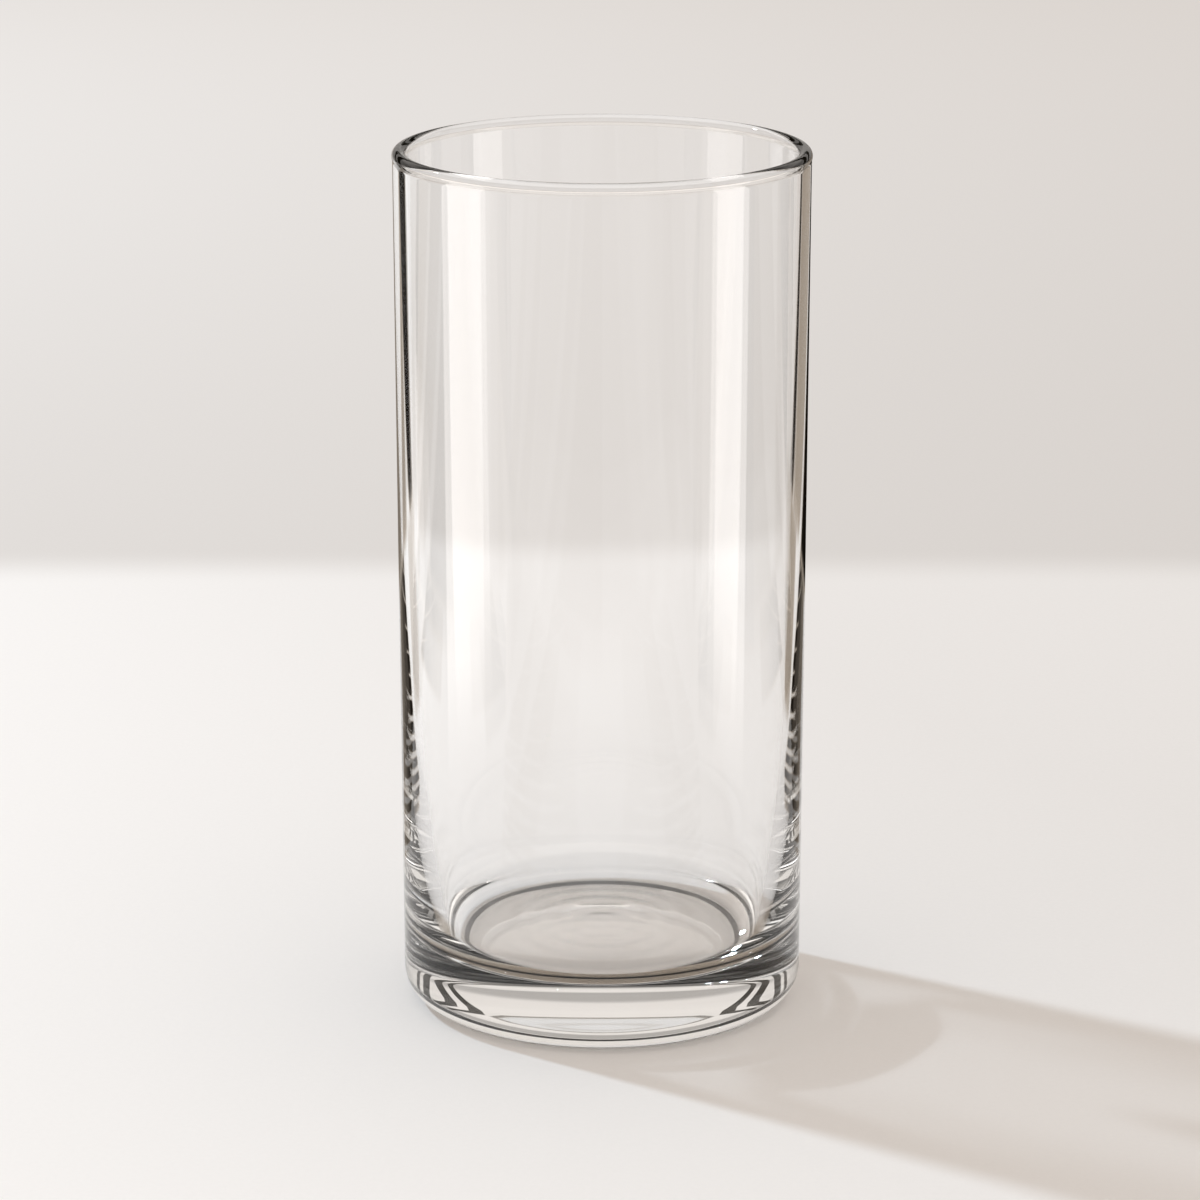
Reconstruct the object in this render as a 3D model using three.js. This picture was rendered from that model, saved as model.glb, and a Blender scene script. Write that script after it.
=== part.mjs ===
// Tall clear tumbler: one piece of glass, standing on the origin with its axis on +Z.
// All sizes are millimetres.

import * as THREE from 'three';

// Driving dimensions, outside
const tumblerHeight = 148;
const rimDiameter = 70; // widest, across the rim's bead
const footDiameter = 68.6; // across the wall where it turns into the heel
const heelRadius = 5.2; // rounded outer corner under the wall
const bearingRingWidth = 2.4; // flat ring that the tumbler stands on
const punt = 1.1; // how far the middle of the underside is pushed up

// Driving dimensions, inside
const baseThickness = 9.4; // glass between the punt and the floor, at the axis
const wallAtRim = 2.2; // just under the bead
const wallAtFloor = 2.5; // where the straight inner wall would meet the floor
const heelSwell = 4.2; // glass added inside that wall at the floor
const heelSwellRise = 24; // height over which the added glass falls to about a third
const floorFilletRise = 6; // height of the rounding between floor and wall
const floorFilletRun = 6; // how far that rounding runs in over the floor
const floorCrown = 0.4; // rise of the floor's middle over its rim

// The fire-polished lip
const beadSwell = 0.12; // how far the bead stands out of the wall, inside and outside

// Facets
const roundSegments = 80;
const arcSteps = 7; // round the heel, and round the inner fillet
const beadSteps = 10; // over the lip, an even number so that one point is its top
const neckSteps = 2; // each run-out of the bead into the wall
const wallSteps = 14;
const domeSteps = 5;

const rimRadius = rimDiameter / 2;
const footRadius = footDiameter / 2;
const beadRadius = wallAtRim / 2 + beadSwell;
const beadCentreRadius = rimRadius - beadRadius;
const beadCentreHeight = tumblerHeight - beadRadius;
const beadAngle = Math.acos(wallAtRim / 2 / beadRadius); // where the bead runs out into the wall
const neckHeight = beadCentreHeight - beadRadius * Math.sin(beadAngle);
const neckRadius = rimRadius - beadSwell; // outside of the wall under the bead
const floorHeight = punt + baseThickness - floorCrown; // at the foot of the inner wall
const restRadius = footRadius - heelRadius; // outer edge of the bearing ring
const puntRadius = restRadius - bearingRingWidth;

// Points of a round arc in the profile, both ends included.
function arc(centreRadius, centreHeight, radius, from, to, steps) {
  const points = [];
  for (let i = 0; i <= steps; i++) {
    const angle = from + ((to - from) * i) / steps;
    points.push(new THREE.Vector2(
      centreRadius + radius * Math.cos(angle),
      centreHeight + radius * Math.sin(angle),
    ));
  }
  return points;
}

// Points of a shallow dome from its rim to the axis: height at the rim, rise at the middle.
function dome(radius, height, rise) {
  const points = [];
  for (let i = 0; i <= domeSteps; i++) {
    const share = 1 - i / domeSteps;
    points.push(new THREE.Vector2(radius * share, height + rise * (1 - share * share)));
  }
  return points;
}

// Outside radius of the wall, a straight taper from the heel to the neck.
function outerRadius(height) {
  const share = (height - heelRadius) / (neckHeight - heelRadius);
  return footRadius + (neckRadius - footRadius) * share;
}

// Inside radius: a wall that thickens evenly downwards, and then swells into the base.
function innerRadius(height) {
  const share = (neckHeight - height) / (neckHeight - floorHeight);
  const wall = wallAtRim + (wallAtFloor - wallAtRim) * share;
  return outerRadius(height) - wall - heelSwell * Math.exp((floorHeight - height) / heelSwellRise);
}

// Underside, heel and bead, from the axis out and up.
const underside = dome(puntRadius, 0, punt).reverse();
const heel = arc(restRadius, heelRadius, heelRadius, -Math.PI / 2, 0, arcSteps);
const beadArc = (from, to, steps) => arc(beadCentreRadius, beadCentreHeight, beadRadius, from, to, steps);
const bead = [
  ...beadArc(-beadAngle, 0, neckSteps),
  ...beadArc(0, Math.PI, beadSteps).slice(1, -1),
  ...beadArc(Math.PI, Math.PI + beadAngle, neckSteps),
];

// Inner wall, from the neck down to the fillet, with closer steps where it swells.
const filletTop = floorHeight + floorFilletRise;
const innerWall = [];
for (let i = 1; i <= wallSteps; i++) {
  const share = 1 - i / wallSteps;
  const height = filletTop + (neckHeight - filletTop) * share * share;
  innerWall.push(new THREE.Vector2(innerRadius(height), height));
}

// Fillet: one curve that leaves the wall along its slope and lands flat on the floor.
const wallSlope = heelSwell / heelSwellRise * Math.exp(-floorFilletRise / heelSwellRise);
const wallFoot = innerWall.at(-1);
const filletCorner = new THREE.Vector2(wallFoot.x - wallSlope * floorFilletRise, floorHeight);
const floorRadius = filletCorner.x - floorFilletRun;
const fillet = new THREE.QuadraticBezierCurve(
  wallFoot,
  filletCorner,
  new THREE.Vector2(floorRadius, floorHeight),
).getPoints(arcSteps).slice(1, -1);
const floor = dome(floorRadius, floorHeight, floorCrown);

const profile = [...underside, ...heel, ...bead, ...innerWall, ...fillet, ...floor];

const clearGlass = new THREE.MeshStandardMaterial({
  color: 0xf2f5f3,
  roughness: 0.03,
  metalness: 0,
  transparent: true,
  opacity: 0.3,
});

const glassBody = new THREE.Mesh(new THREE.LatheGeometry(profile, roundSegments), clearGlass);
glassBody.name = 'glass_body';
glassBody.rotation.x = Math.PI / 2; // the lathe turns about +Y, and the tumbler stands along +Z

const tumbler = new THREE.Group();
tumbler.add(glassBody);

export default tumbler;
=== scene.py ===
import itertools
import math

import bmesh
import bpy
import numpy as np
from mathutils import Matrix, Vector


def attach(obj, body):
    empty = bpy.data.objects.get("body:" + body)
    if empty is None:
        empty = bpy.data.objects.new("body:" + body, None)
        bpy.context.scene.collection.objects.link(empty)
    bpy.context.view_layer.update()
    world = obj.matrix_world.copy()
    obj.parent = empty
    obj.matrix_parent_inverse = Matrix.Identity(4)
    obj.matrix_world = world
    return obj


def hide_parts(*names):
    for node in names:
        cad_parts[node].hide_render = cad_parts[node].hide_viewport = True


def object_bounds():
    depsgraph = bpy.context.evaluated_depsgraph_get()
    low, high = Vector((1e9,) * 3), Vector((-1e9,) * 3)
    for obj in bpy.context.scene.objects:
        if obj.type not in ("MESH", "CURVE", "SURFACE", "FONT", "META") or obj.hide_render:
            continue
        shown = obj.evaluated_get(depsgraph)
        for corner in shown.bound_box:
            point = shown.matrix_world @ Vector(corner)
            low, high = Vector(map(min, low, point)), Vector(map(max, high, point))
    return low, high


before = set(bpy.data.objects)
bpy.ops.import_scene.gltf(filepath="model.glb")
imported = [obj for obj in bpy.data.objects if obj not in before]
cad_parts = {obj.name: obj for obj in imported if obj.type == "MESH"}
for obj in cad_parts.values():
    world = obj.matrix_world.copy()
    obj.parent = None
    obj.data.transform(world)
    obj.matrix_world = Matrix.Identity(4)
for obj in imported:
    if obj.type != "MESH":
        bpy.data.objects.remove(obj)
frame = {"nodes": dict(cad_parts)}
cadLow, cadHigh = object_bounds()
scene = bpy.context.scene
scene.view_settings.view_transform = "Standard"
mm = 0.001
print("frame loaded:", ", ".join(frame["nodes"]))

# Light runs a long way inside thick glass, and its bright lines on the floor must not be cut off
scene.cycles.max_bounces = 24
scene.cycles.transmission_bounces = 24
scene.cycles.glossy_bounces = 16
scene.cycles.transparent_max_bounces = 24
scene.cycles.sample_clamp_indirect = 0

# Settings that several nodes share; a mix takes its factor at 0, numbers at 2 and 3, colours at 6 and 7
times = {"operation": "MULTIPLY"}
largest = {"operation": "MAXIMUM"}
moreThan = {"operation": "GREATER_THAN"}
lessThan = {"operation": "LESS_THAN"}
smooth = {"interpolation_type": "SMOOTHSTEP"}
mixNumbers = {"data_type": "FLOAT"}
timesColour = {"data_type": "RGBA", "blend_type": "MULTIPLY"}


def hexToLinear(code):  # sRGB hex to the linear colour that the nodes take
    values = [int(code[i:i + 2], 16) / 255 for i in (1, 3, 5)]
    return [v / 12.92 if v <= 0.04045 else ((v + 0.055) / 1.055) ** 2.4 for v in values] + [1.0]


def addNode(tree, kind, settings=None, inputs=None):  # an input is a value or another node's socket
    node = tree.nodes.new(kind)
    for name, value in (settings or {}).items():
        setattr(node, name, value)
    for name, value in (inputs or {}).items():
        if isinstance(value, bpy.types.NodeSocket):
            tree.links.new(value, node.inputs[name])
        else:
            node.inputs[name].default_value = value
    return node


def newMaterial(name):
    material = bpy.data.materials.new(name)
    material.use_nodes = True
    material.node_tree.nodes.clear()
    return material, material.node_tree


def newMeshObject(name, bm, material):
    mesh = bpy.data.meshes.new(name)
    bm.to_mesh(mesh)
    bm.free()
    mesh.materials.append(material)
    mesh.polygons.foreach_set("use_smooth", [True] * len(mesh.polygons))
    piece = bpy.data.objects.new(name, mesh)
    scene.collection.objects.link(piece)
    return piece


# Camera: a long lens, looking down at the glass a little
view = {
    "lens": 140,
    "sensor": 36,
    "distance": 795.9 * mm,
    "pitch": 0.2674,  # downwards, in radians
    "aimHeight": 70.0 * mm,
    "aimLeft": 0.34 * mm,  # the glass stands a hair right of the middle
    "clip": (0.01, 50),  # metres
}


def makeCamera():
    data = bpy.data.cameras.new("camera")
    data.lens = view["lens"]
    data.sensor_width = view["sensor"]
    data.clip_start, data.clip_end = view["clip"]
    camera = bpy.data.objects.new("camera", data)
    scene.collection.objects.link(camera)
    reach = view["distance"] * math.cos(view["pitch"])
    rise = view["distance"] * math.sin(view["pitch"])
    camera.location = (-view["aimLeft"], -reach, view["aimHeight"] + rise)
    camera.rotation_euler = (math.pi / 2 - view["pitch"], 0, 0)
    scene.camera = camera


makeCamera()
print("camera placed")


# Clear soda-lime glass, fire-polished: colourless through the wall, faintly green on long ways in it
clearGlass = {
    "colour": "#ffffff",
    "ior": 1.52,
    "roughness": 0.0,
    "tint": "#f4faf6",
    "absorption": 1.2,  # per metre, so that only the base and the edges take the tint
}


def makeClearGlass():
    material, tree = newMaterial("clear_soda_lime_glass_fire_polished")
    shader = addNode(tree, "ShaderNodeBsdfPrincipled", inputs={
        "Base Color": hexToLinear(clearGlass["colour"]),
        "Roughness": clearGlass["roughness"],
        "IOR": clearGlass["ior"],
        "Transmission Weight": 1.0,
    })
    volume = addNode(tree, "ShaderNodeVolumeAbsorption", inputs={
        "Color": hexToLinear(clearGlass["tint"]),
        "Density": clearGlass["absorption"],
    })
    addNode(tree, "ShaderNodeOutputMaterial", inputs={
        "Surface": shader.outputs["BSDF"],
        "Volume": volume.outputs["Volume"],
    })
    return material


# The tumbler, in millimetres, as the solid has it; height and rim come from the frame
tumbler = {
    "height": (cadHigh[2] - cadLow[2]) / mm,
    "rimDiameter": (cadHigh[0] - cadLow[0]) / mm,
    "footDiameter": 68.6,
    "heelRadius": 5.2,
    "bearingRingWidth": 2.4,
    "punt": 1.1,
    "baseThickness": 9.4,
    "wallAtRim": 2.2,
    "wallAtFloor": 2.5,
    "heelSwell": 4.2,
    "heelSwellRise": 24,
    "floorFilletRise": 6,
    "floorFilletRun": 6,
    "floorCrown": 0.4,
    "beadSwell": 0.12,
    "dimple": 0.13,  # left in the floor by the plunger's tip
    "dimpleRadius": 4.5,
    "ringSize": 0.025,  # faint rings round it
    "ringPitch": 4.2,
    "segments": 256,
    "steps": {  # along the profile
        "punt": 16, "ring": 3, "heel": 20, "outer": 24, "lip": 30, "inner": 96, "fillet": 24, "floor": 40,
    },
}


def arcPoints(centre, radius, start, end, steps):
    angles = [start + (end - start) * i / steps for i in range(steps + 1)]
    return [(centre[0] + radius * math.cos(a), centre[1] + radius * math.sin(a)) for a in angles]


def closerAtEnds(start, end, i, steps):
    return start + (end - start) * (1 - math.cos(math.pi * i / steps)) / 2


def tumblerProfile():  # radius and height, from under the middle over the lip to the floor's middle
    t = tumbler
    steps = t["steps"]
    footRadius = t["footDiameter"] / 2
    restRadius = footRadius - t["heelRadius"]
    puntRadius = restRadius - t["bearingRingWidth"]
    floorHeight = t["punt"] + t["baseThickness"] - t["floorCrown"]
    beadRadius = t["wallAtRim"] / 2 + t["beadSwell"]
    beadCentre = (t["rimDiameter"] / 2 - beadRadius, t["height"] - beadRadius)
    beadAngle = math.acos(t["wallAtRim"] / 2 / beadRadius)
    neckHeight = beadCentre[1] - beadRadius * math.sin(beadAngle)
    neckRadius = t["rimDiameter"] / 2 - t["beadSwell"]

    def outer(z):
        share = (z - t["heelRadius"]) / (neckHeight - t["heelRadius"])
        return footRadius + (neckRadius - footRadius) * share

    def inner(z):
        share = (neckHeight - z) / (neckHeight - floorHeight)
        wall = t["wallAtRim"] + (t["wallAtFloor"] - t["wallAtRim"]) * share
        return outer(z) - wall - t["heelSwell"] * math.exp((floorHeight - z) / t["heelSwellRise"])

    points = []
    for i in range(steps["punt"]):
        share = i / steps["punt"]
        points.append((puntRadius * share, t["punt"] * (1 - share * share)))
    for i in range(steps["ring"]):  # bearing ring
        points.append((puntRadius + t["bearingRingWidth"] * i / steps["ring"], 0))
    points += arcPoints((restRadius, t["heelRadius"]), t["heelRadius"], -math.pi / 2, 0, steps["heel"])
    for i in range(1, steps["outer"]):
        z = closerAtEnds(t["heelRadius"], neckHeight, i, steps["outer"])
        points.append((outer(z), z))
    points += arcPoints(beadCentre, beadRadius, -beadAngle, math.pi + beadAngle, steps["lip"])
    filletTop = floorHeight + t["floorFilletRise"]
    for i in range(1, steps["inner"] + 1):
        z = closerAtEnds(neckHeight, filletTop, i, steps["inner"])
        points.append((inner(z), z))
    slope = t["heelSwell"] / t["heelSwellRise"] * math.exp(-t["floorFilletRise"] / t["heelSwellRise"])
    wallFoot = Vector(points[-1])
    corner = Vector((wallFoot.x - slope * t["floorFilletRise"], floorHeight))
    floorEdge = Vector((corner.x - t["floorFilletRun"], floorHeight))
    for i in range(1, steps["fillet"] + 1):
        share = i / steps["fillet"]
        point = wallFoot * (1 - share) ** 2 + corner * 2 * share * (1 - share) + floorEdge * share ** 2
        points.append((point.x, point.y))
    for i in range(1, steps["floor"] + 1):  # floor, with its dimple and rings
        share = 1 - i / steps["floor"]
        radius = floorEdge.x * share
        z = floorHeight + t["floorCrown"] * (1 - share * share)
        z -= t["dimple"] * math.exp(-((radius / t["dimpleRadius"]) ** 2))
        z += t["ringSize"] * share * (1 - share) * 4 * math.sin(2 * math.pi * radius / t["ringPitch"])
        points.append((radius, z))
    return points


def makeTumbler(material):
    bm = bmesh.new()
    rings = []
    count = tumbler["segments"]
    turns = [2 * math.pi * i / count for i in range(count)]
    for radius, height in tumblerProfile():
        if radius == 0:  # on the axis
            rings.append([bm.verts.new((0, 0, height * mm))])
        else:
            spots = [Vector((radius * math.cos(a), radius * math.sin(a), height)) for a in turns]
            rings.append([bm.verts.new(spot * mm) for spot in spots])
    for low, high in zip(rings, rings[1:]):
        for i in range(count):
            j = (i + 1) % count
            corners = [low[i % len(low)], low[j % len(low)], high[j % len(high)], high[i % len(high)]]
            bm.faces.new(list(dict.fromkeys(corners)))
    return newMeshObject("tumbler_glass", bm, material)


glass = makeTumbler(makeClearGlass())
glass.cycles.is_caustics_caster = True
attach(glass, "root")
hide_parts("glass_body")
print("tumbler made:", len(glass.data.polygons), "faces")


# Painted reflections: shapes painted on the floor that only the glass mirrors, as a studio's black flags
# and lit white cards would show in it.
# Most lie on the floor: along runs away from the glass and across runs sideways, both in metres.
wedge = {  # painted reflection: a dark strip that fills the lower part of each edge
    "start": 0.098,  # its inner side, at the axis, and how that moves out further away
    "slope": 0.10,
    "lowStart": 0.060,  # the same, close to the glass
    "lowSlope": 0.36,
    "rightWider": 0.004,
    "width": 0.078,
    "sideSoft": 0.03,  # share of the width
    "near": 0.05,  # it starts here, and on the other two sides of the glass further out
    "nearSide": 0.16,
    "nearSoft": 0.012,
    "end": (0.235, 0.27),
    "shade": (0.60, 0.92, 1.0),  # at the outline, in the middle and at the inner side
    "shadeFirst": (0.1, 0.6),  # shares of the width where it changes
    "shadeLast": (0.7, 0.9),
    "columnStart": (0.056, 0.50),  # a white gap and then a pale column, between two slanting lines
    "columnEnd": (0.070, 0.75),
    "columnShade": (0.30, 0.55),  # left and right
    "columnNear": (0.09, 0.11),
    "soft": 0.004,
}
hooks = {  # light hooks across the painted dark strip, closer and closer towards the glass
    "first": 0.215,
    "ratio": 0.88,
    "lean": 0.32,
    "light": 0.8,
    "close": (0.085, 0.15),  # nearer than this they are wider and reach further across
    "width": 0.05,
    "widthClose": 0.15,
    "core": 0.6,  # shares of the width where a hook is full and where it ends
    "rim": 1.3,
    "reach": 0.35,
    "reachClose": 0.6,
    "reachChance": 0.45,
    "reachSoft": 0.15,
    "scatter": (12.9898, 437.58),  # gives each hook its own length, the same each run
}
lines = {  # painted reflections: dark lines in the upper part of each edge
    "sector": 1.28,  # across over along where the shapes of one side end
    "start": (0.235, 0.265),
    "blackStart": (0.123, 0.333),  # the left black line, between two slanting lines
    "blackEnd": (0.077, 0.667),
    "slope": 0.47,
    "leftGrey": (0.0, 0.055, 0.012, 0.6),  # from, to, softness and shade
    "leftOutline": (-1.0, 0.10, 0.008, 0.6),
    "rightBlack": (0.112, 0.155, 0.008, 1.0),
    "rightOutline": (-1.0, 0.122, 0.008, 1.0),
    "rightGrey": (0.15, 0.105, 0.008, 0.52),
    "soft": 0.008,
    "front": 0.5,  # weaker in front, where the whole wall mirrors it
}
ways = {  # one spot in the edge mirrors several places, moved across and along, more so further away
    "outside": (-0.054, -0.009, 0.28, -0.085, 0.15),
    "inside": (0.0, 0.0, 0.0, 0.0, 0.0),
    "again": (0.046, 0.009, 0.20, 0.09, 0.0),
}
footShade = {  # painted shade round the base, as the glass mirrors it, by way
    "outside": 0.0,
    "inside": 0.5,
    "again": 0.0,
    "edge": (0.043, 0.047),
}
glow = {  # painted light: white strips that glow on the floor in mirrored rays, to the left and the right, as slopes of their two sides
    "apex": (0.0104, 0.025),  # the sides meet here, in front of the axis
    "left": (-0.372, 0.14),
    "leftDim": (-0.727, -0.372),
    "front": 0.42,  # a fainter light between them
    "frontStart": (0.17, 0.27),
    "leftBack": (0.55, 0.95),  # and one beside the left black line
    "back": 0.5,
    "backEnd": (0.33, 0.42),
    "right": (-0.454, -0.04),
    "rightDim": (-0.65, -0.454),
    "soft": 0.012,
    "bright": (2.7, 3.0),  # left and right
    "dim": 0.8,
    "fadeIn": (0.12, 0.32),
}


def smoothStep(value, start, end):
    share = np.clip((value - start) / (end - start), 0, 1)
    return share * share * (3 - 2 * share)


def band(value, start, end, soft, shade=1.0):
    rise = shade * smoothStep(value, start - soft, start + soft)
    return rise * (1 - smoothStep(value, end - soft, end + soft))


def pastLine(across, along, line, soft):  # 1 beyond a slanting line, 0 before it
    return smoothStep(across - line[0] - line[1] * along, -soft, soft)


def paintHooks(share, along):
    h = hooks
    leaning = np.maximum(along * (1 - h["lean"] * (1 - share)), mm)
    count = np.log(leaning / h["first"]) / math.log(h["ratio"])
    number = np.floor(count)
    chance = np.modf(np.abs(np.sin(number * h["scatter"][0]) * h["scatter"][1]))[0]
    close = 1 - smoothStep(along, *h["close"])
    width = h["width"] + h["widthClose"] * close
    reach = h["reach"] + h["reachChance"] * chance - h["reachClose"] * close
    hook = 1 - smoothStep(np.abs(count - number - 0.5), width * h["core"], width * h["rim"])
    return h["light"] * hook * smoothStep(share, reach, reach + h["reachSoft"])


def paintWedge(across, along, leftKind, main):
    w = wedge
    inner = np.minimum(w["start"] + w["slope"] * along, w["lowStart"] + w["lowSlope"] * along)
    inside = across - inner - np.where(leftKind, 0, w["rightWider"])
    share = 1 + inside / w["width"]  # 0 at the outline, 1 at the inner side
    outline, middle, deep = w["shade"]
    shade = outline + (middle - outline) * smoothStep(share, *w["shadeFirst"])
    shade = shade + (deep - middle) * smoothStep(share, *w["shadeLast"])
    near = np.where(main, w["near"], w["nearSide"])
    dark = shade * band(share, 0, 1, w["sideSoft"]) * smoothStep(along, near, near + w["nearSoft"])
    dark = dark * (1 - paintHooks(share, along))
    column = pastLine(across, along, w["columnStart"], w["soft"])
    column = column * (1 - pastLine(across, along, w["columnEnd"], w["soft"]) * leftKind)
    column = column * np.where(leftKind, *w["columnShade"]) * smoothStep(along, *w["columnNear"])
    return np.maximum(dark, column) * (1 - smoothStep(along, *w["end"]))


def paintLines(across, along, leftKind):
    line = across - lines["slope"] * along
    left = pastLine(across, along, lines["blackStart"], lines["soft"])
    left = left * (1 - pastLine(across, along, lines["blackEnd"], lines["soft"]))
    left = np.maximum(left, band(line, *lines["leftGrey"]))
    left = np.maximum(left, band(across, *lines["leftOutline"]))
    right = np.maximum(band(line, *lines["rightBlack"]), band(across, *lines["rightOutline"]))
    start, end, soft, shade = lines["rightGrey"]
    grey = shade * smoothStep(across, start - soft, start + soft)
    right = np.maximum(right, grey * (1 - smoothStep(line, end - soft, end + soft)))
    return np.where(leftKind, left, right) * smoothStep(along, *lines["start"])


def paintDark(x, y, way):  # painted reflections of dark flags, and painted shade round the base; the same on all four sides of the glass
    wide, deep = np.abs(x), np.abs(y)
    main = wide < lines["sector"] * deep
    across, along = np.where(main, wide, deep), np.where(main, deep, wide)
    leftKind = (x * y < 0) == main
    moveAcross, moveAlong, start, spreadAcross, spreadAlong = ways[way]
    beyond = np.maximum(along - start, 0)
    across = across + moveAcross + spreadAcross * beyond
    along = along + moveAlong + spreadAlong * beyond
    dark = np.maximum(paintWedge(across, along, leftKind, main), paintLines(across, along, leftKind))
    dark = dark * np.where(main & (y < 0), lines["front"], 1)
    # painted shade round the base
    return np.maximum(dark, footShade[way] * (1 - smoothStep(np.hypot(x, y), *footShade["edge"])))


# Painted light: the white strips on the floor, as the glass mirrors them
def paintGlow(x, y):
    g = glow
    soft = g["soft"]
    out = np.maximum(np.abs(x) - g["apex"][0], mm)
    slope = (y + g["apex"][1]) / out
    left = band(slope, *g["left"], soft, g["bright"][0]) + band(slope, *g["leftDim"], soft, g["dim"])
    left = left + band(slope, *g["leftBack"], soft, g["back"]) * (1 - smoothStep(out, *g["backEnd"]))
    right = band(slope, *g["right"], soft, g["bright"][1]) + band(slope, *g["rightDim"], soft, g["dim"])
    sides = np.where(x < 0, left, right) * smoothStep(out, *g["fadeIn"])
    edge = np.where(x < 0, g["leftDim"][0], g["rightDim"][0])
    front = g["front"] * (1 - smoothStep(slope, edge - soft, edge + soft))
    return sides + front * smoothStep(-y, *g["frontStart"])


# Kinds of ray, told apart by how often they were mirrored or went through a surface
rays = {
    "matt": 0.5,  # fewer: no matt surface lies on its way from the eye
    "mirrored": 0.5,  # more: the glass has mirrored it
    "twice": 1.5,  # more: twice or more often
    "many": 3.5,  # more: it has run to and fro in the thick lower wall
    "entered": 0.5,  # more: it has been inside the glass
    "oneWall": 2.5,  # more: it has been through more than one wall
}


def mirroredRay(tree, path):  # 1 if the glass has mirrored it, through one wall at most, else 0
    mirrored = addNode(tree, "ShaderNodeMath", moreThan, {
        0: path.outputs["Glossy Depth"], 1: rays["mirrored"]})
    direct = addNode(tree, "ShaderNodeMath", lessThan, {0: path.outputs["Diffuse Depth"], 1: rays["matt"]})
    thin = addNode(tree, "ShaderNodeMath", lessThan, {
        0: path.outputs["Transmission Depth"], 1: rays["oneWall"]})
    both = addNode(tree, "ShaderNodeMath", times, {0: mirrored.outputs[0], 1: direct.outputs[0]})
    both = addNode(tree, "ShaderNodeMath", times, {0: both.outputs[0], 1: thin.outputs[0]})
    return both.outputs[0]


def manyTimes(tree, path):  # 1 for a mirrored ray that has run to and fro in the wall, else 0
    many = addNode(tree, "ShaderNodeMath", moreThan, {0: path.outputs["Glossy Depth"], 1: rays["many"]})
    both = addNode(tree, "ShaderNodeMath", times, {0: many.outputs[0], 1: mirroredRay(tree, path)})
    return both.outputs[0]


# Floor: pale matt paper, in metres
paper = {
    "reach": 4.0,
    "fine": 0.3,  # the grid is fine out to about here
    "lines": 350,  # from the middle to the edge
    "power": 9,  # how quickly they spread after that
    "colour": "#f3efec",
    "roughness": 0.9,
    "grain": 0.9 * mm,
    "grainDetail": 3.0,
    "grainRange": (0.3, 0.7),
    "grainTone": (0.985, 1.0),
    "shades": ("#ffffff", "#bdb3a6", "#1c1813"),  # of the painted reflections and painted shade, warm in the middle
    "middleShade": 0.5,  # where the second one lies
    # the painted light strips glow in this colour
    "glowColour": "#fffbf8",
    "dark": (0.07, 0.08),  # painted shade under the base, for light from inside the lower wall: it is dark out to here
    "fadeRight": 0.45,  # per metre, painted light: a little lighter at the front left
    "fadeBack": 0.30,
    "fadeLimits": (-0.08, 0.08),
    "farTone": 0.78,  # painted shade: a little darker further away, and then painted light again
    "farSquare": 6,  # that part's inner side is a square with rounded corners
    "farStart": (0.27, 0.30),
    "farRise": 0.09,
    "farLight": (0.30, 1.4),
    "warmth": (1.0, 1.08, 1.15),  # the painted shade is warmer where it is darker: powers for red, green and blue
}


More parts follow.
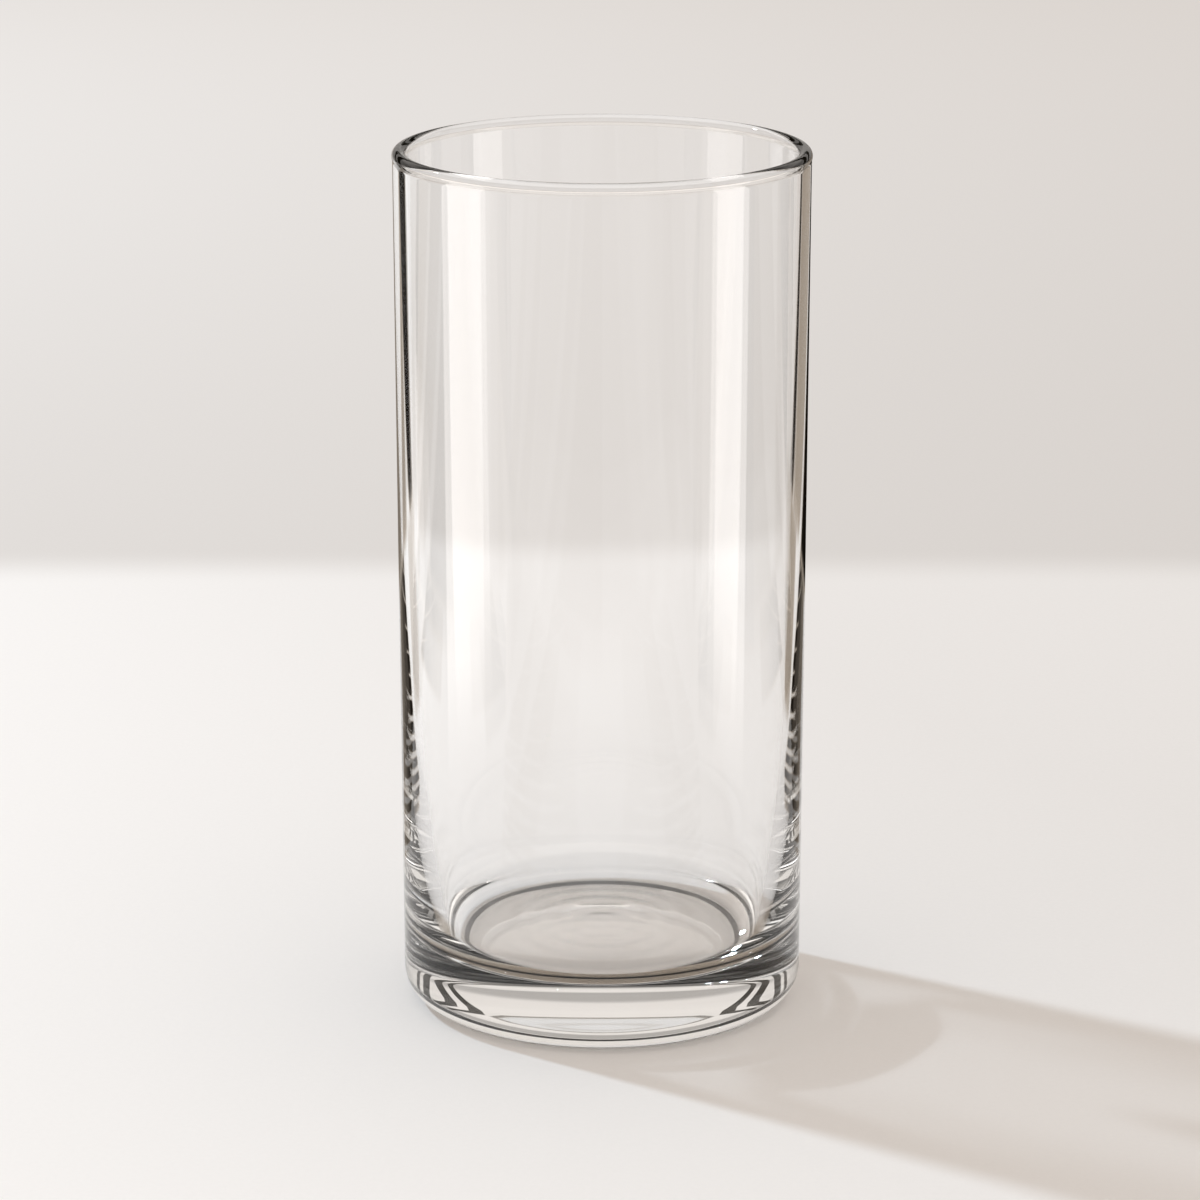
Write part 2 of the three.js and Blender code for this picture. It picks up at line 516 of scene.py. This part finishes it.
def makePaper():  # pale to the eye, with a faint grain and painted light and shade across it; the painted reflections show only in mirrored rays
    material, tree = newMaterial("matt_paper_sweep")
    path = addNode(tree, "ShaderNodeLightPath")
    mask = mirroredRay(tree, path)
    place = addNode(tree, "ShaderNodeNewGeometry")
    grain = addNode(tree, "ShaderNodeTexNoise", inputs={
        "Vector": place.outputs["Position"], "Scale": 1 / paper["grain"], "Detail": paper["grainDetail"]})
    speck = addNode(tree, "ShaderNodeMapRange", inputs={
        "Value": grain.outputs["Fac"],
        "From Min": paper["grainRange"][0], "From Max": paper["grainRange"][1],
        "To Min": paper["grainTone"][0], "To Max": paper["grainTone"][1]})
    # painted light and shade, multiplied into the paper's colour
    tone = addNode(tree, "ShaderNodeAttribute", {"attribute_name": "floor_shading"})
    plain = addNode(tree, "ShaderNodeMix", timesColour, {
        0: 1.0, 6: hexToLinear(paper["colour"]), 7: tone.outputs["Color"]})
    plain = addNode(tree, "ShaderNodeMix", timesColour, {
        0: 1.0, 6: plain.outputs[2], 7: speck.outputs["Result"]})
    # painted reflections and painted shade, seen only in mirrored rays, darken the paper by way
    darks = addNode(tree, "ShaderNodeAttribute", {"attribute_name": "floor_dark"})
    dark = addNode(tree, "ShaderNodeSeparateColor", inputs={"Color": darks.outputs["Color"]})
    paint = addNode(tree, "ShaderNodeAttribute", {"attribute_name": "floor_paint"})
    parts = addNode(tree, "ShaderNodeSeparateColor", inputs={"Color": paint.outputs["Color"]})
    outside = addNode(tree, "ShaderNodeMath", lessThan, {
        0: path.outputs["Transmission Depth"], 1: rays["entered"]})
    again = addNode(tree, "ShaderNodeMath", moreThan, {0: path.outputs["Glossy Depth"], 1: rays["twice"]})
    seen = addNode(tree, "ShaderNodeMix", mixNumbers, {
        0: outside.outputs[0], 2: dark.outputs["Green"], 3: dark.outputs["Red"]})
    seen = addNode(tree, "ShaderNodeMix", mixNumbers, {
        0: again.outputs[0], 2: seen.outputs[0], 3: dark.outputs["Blue"]})
    seen = addNode(tree, "ShaderNodeMix", mixNumbers, {
        0: manyTimes(tree, path), 2: seen.outputs[0], 3: parts.outputs["Red"]})
    seen = addNode(tree, "ShaderNodeMath", times, {0: seen.outputs[0], 1: mask})
    shade = addNode(tree, "ShaderNodeValToRGB", inputs={"Fac": seen.outputs[0]})
    shade.color_ramp.elements.new(paper["middleShade"])
    for stop, code in zip(shade.color_ramp.elements, paper["shades"]):
        stop.color = hexToLinear(code)
    colour = addNode(tree, "ShaderNodeMix", timesColour, {
        0: 1.0, 6: plain.outputs[2], 7: shade.outputs["Color"]})
    # painted light: the white strips glow, in mirrored rays only
    strength = addNode(tree, "ShaderNodeMath", times, {0: parts.outputs["Green"], 1: mask})
    shader = addNode(tree, "ShaderNodeBsdfPrincipled", inputs={
        "Base Color": colour.outputs[2],
        "Roughness": paper["roughness"],
        "Specular IOR Level": 0.0,
        "Emission Color": hexToLinear(paper["glowColour"]),
        "Emission Strength": strength.outputs[0],
    })
    addNode(tree, "ShaderNodeOutputMaterial", inputs={"Surface": shader.outputs["BSDF"]})
    material.cycles.emission_sampling = "NONE"
    return material


# Painted light and shade on the floor: lighter towards the front left, darker far off, and lighter again
# further still
def paintShading(x, y):
    far = (x ** paper["farSquare"] + y ** paper["farSquare"]) ** (1 / paper["farSquare"])
    beyond = smoothStep(far, *paper["farStart"])
    fade = np.clip(-paper["fadeRight"] * x - paper["fadeBack"] * y, *paper["fadeLimits"])
    tone = 1 + fade * (1 - beyond) + (paper["farTone"] - 1) * beyond
    return tone + paper["farRise"] * smoothStep(far, *paper["farLight"])


def makeFloor():  # a grid, fine near the glass, that carries the painted shapes
    bm = bmesh.new()
    count = 2 * paper["lines"]
    bmesh.ops.create_grid(bm, x_segments=count, y_segments=count, size=1)
    floor = newMeshObject("floor", bm, makePaper())
    places = np.empty(len(floor.data.vertices) * 3)
    floor.data.vertices.foreach_get("co", places)
    places = paper["fine"] * places + (paper["reach"] - paper["fine"]) * places ** paper["power"]
    floor.data.vertices.foreach_set("co", places)
    x, y = places[0::3], places[1::3]
    # painted shade under and round the base
    dark = 1 - smoothStep(np.hypot(x, y), *paper["dark"])
    tone = paintShading(x, y)
    layers = {  # red, green and blue of each; nothing uses the blue of floor_paint
        "floor_dark": [paintDark(x, y, way) for way in ways],
        "floor_paint": [dark, paintGlow(x, y), np.zeros_like(x)],
        "floor_shading": [tone ** power for power in paper["warmth"]],
    }
    for name, channels in layers.items():
        layer = floor.data.attributes.new(name, "FLOAT_COLOR", "POINT")
        layer.data.foreach_set("color", np.stack(channels + [np.ones_like(x)], axis=1).ravel())
    floor.data.update()
    floor.cycles.is_caustics_receiver = True


# World: one even light for the floor; the glass sees levels that change with the height
studio = {
    "colour": "#fff8f1",
    "light": 0.76,
    "levels": {  # from and to, in degrees above the floor, and the level below and above
        "ceiling": (25, 34, 0.80, 0.28),
        "wall": (17.5, 19.5, 0.55, 1.0),  # share of that in mirrored rays
        "deep": (22, 26, 1.6, 1.0),  # share of that through more than one wall
        "rising": (9.2069, 15.0701, 0.03, 0.85),  # dark and bright streaks from inside the lower wall
        "falling": (21.4076, 22.6437, 1.0, 0.03),
    },
}


def makeWorld():
    world = bpy.data.worlds.new("studio")
    world.use_nodes = True
    tree = world.node_tree
    tree.nodes.clear()
    path = addNode(tree, "ShaderNodeLightPath")
    seen = addNode(tree, "ShaderNodeMath", largest, {
        0: path.outputs["Is Camera Ray"], 1: path.outputs["Is Transmission Ray"]})
    seen = addNode(tree, "ShaderNodeMath", largest, {0: seen.outputs[0], 1: path.outputs["Is Glossy Ray"]})
    direct = addNode(tree, "ShaderNodeMath", lessThan, {0: path.outputs["Diffuse Depth"], 1: rays["matt"]})
    seen = addNode(tree, "ShaderNodeMath", times, {0: seen.outputs[0], 1: direct.outputs[0]})
    place = addNode(tree, "ShaderNodeTexCoord")
    up = addNode(tree, "ShaderNodeSeparateXYZ", inputs={"Vector": place.outputs["Generated"]})
    level = {}
    for name, (start, end, below, above) in studio["levels"].items():
        change = addNode(tree, "ShaderNodeMapRange", smooth, {
            "Value": up.outputs["Z"],
            "From Min": math.sin(math.radians(start)), "From Max": math.sin(math.radians(end)),
            "To Min": below, "To Max": above})
        level[name] = change.outputs["Result"]
    thick = addNode(tree, "ShaderNodeMath", moreThan, {
        0: path.outputs["Transmission Depth"], 1: rays["oneWall"]})
    share = addNode(tree, "ShaderNodeMix", mixNumbers, {0: thick.outputs[0], 2: 1.0, 3: level["deep"]})
    share = addNode(tree, "ShaderNodeMix", mixNumbers, {
        0: mirroredRay(tree, path), 2: share.outputs[0], 3: level["wall"]})
    shown = addNode(tree, "ShaderNodeMath", times, {0: share.outputs[0], 1: level["ceiling"]})
    streak = addNode(tree, "ShaderNodeMath", times, {0: level["rising"], 1: level["falling"]})
    shown = addNode(tree, "ShaderNodeMix", mixNumbers, {
        0: manyTimes(tree, path), 2: shown.outputs[0], 3: streak.outputs[0]})
    strength = addNode(tree, "ShaderNodeMix", mixNumbers, {
        0: seen.outputs[0], 2: studio["light"], 3: shown.outputs[0]})
    sky = addNode(tree, "ShaderNodeBackground", inputs={
        "Color": hexToLinear(studio["colour"]), "Strength": strength.outputs[0]})
    addNode(tree, "ShaderNodeOutputWorld", inputs={"Surface": sky.outputs["Background"]})
    scene.world = world


# Key light, behind the glass to the left: two lamps in one place, for less bent light in the shadow
keyLight = {
    "colour": "#e0f1ff",
    "bentPower": 10.0,  # the glass bends only this one's light on to the floor
    "evenPower": 6.0,
    "size": 0.10,
    "distance": 1.8,
    "azimuth": 125,  # degrees round to the left from the camera
    "height": 40,  # degrees above the floor
}


def makeKeyLight():
    around, up = math.radians(keyLight["azimuth"]), math.radians(keyLight["height"])
    towards = Vector((-math.sin(around) * math.cos(up), -math.cos(around) * math.cos(up), math.sin(up)))
    lamps = {"key": ("bentPower", True), "key_even": ("evenPower", False)}
    for name, (power, bent) in lamps.items():
        data = bpy.data.lights.new(name, "AREA")
        data.shape = "DISK"
        data.size = keyLight["size"]
        data.energy = keyLight[power]
        data.color = hexToLinear(keyLight["colour"])[:3]
        data.cycles.is_caustics_light = bent
        lamp = bpy.data.objects.new(name, data)
        scene.collection.objects.link(lamp)
        lamp.location = towards * keyLight["distance"]
        lamp.rotation_euler = towards.to_track_quat("Z", "Y").to_euler()
        lamp.visible_transmission = bent


# Standing flags, two dark arches on each side, for the dark lines round the window in the base
flags = {
    "colour": "#2a251d",
    "distance": 0.35,
    "spring": 0.105,  # height where the arches start
    "inner": ((0.238, 0.218), (0.262, 0.240)),  # half width and crown, inside and outside
    "outer": ((0.290, 0.264), (0.345, 0.30)),
    "steps": 48,
}


def makeBlackCard():  # black only in mirrored rays, and else clear
    material, tree = newMaterial("black_card")
    mask = mirroredRay(tree, addNode(tree, "ShaderNodeLightPath"))
    card = addNode(tree, "ShaderNodeEmission", inputs={"Color": hexToLinear(flags["colour"])})
    clear = addNode(tree, "ShaderNodeBsdfTransparent")
    mix = addNode(tree, "ShaderNodeMixShader", inputs={
        0: mask, 1: clear.outputs["BSDF"], 2: card.outputs["Emission"]})
    addNode(tree, "ShaderNodeOutputMaterial", inputs={"Surface": mix.outputs["Shader"]})
    material.cycles.emission_sampling = "NONE"
    return material


def makeFlags():
    bm = bmesh.new()
    spring, steps = flags["spring"], flags["steps"]
    for turn, arch in itertools.product(range(4), (flags["inner"], flags["outer"])):
        angle = turn * math.pi / 2
        right = Vector((math.cos(angle), math.sin(angle), 0))
        middle = Vector((-math.sin(angle), math.cos(angle), 0)) * flags["distance"]
        rows = []
        for i in range(-steps, steps + 1):
            x = arch[1][0] * i / steps
            row = []
            for half, crown in arch:
                rise = (crown - spring) * math.sqrt(max(0.0, 1 - (x / half) ** 2))
                row.append(bm.verts.new(middle + right * x + Vector((0, 0, spring + rise))))
            rows.append(row)
        for first, second in zip(rows, rows[1:]):
            bm.faces.new((first[0], second[0], second[1], first[1]))
    card = newMeshObject("dark_flags", bm, makeBlackCard())
    card.visible_camera = False
    card.visible_diffuse = False
    card.visible_shadow = False


makeFloor()
makeWorld()
makeKeyLight()
makeFlags()
print("stage set")
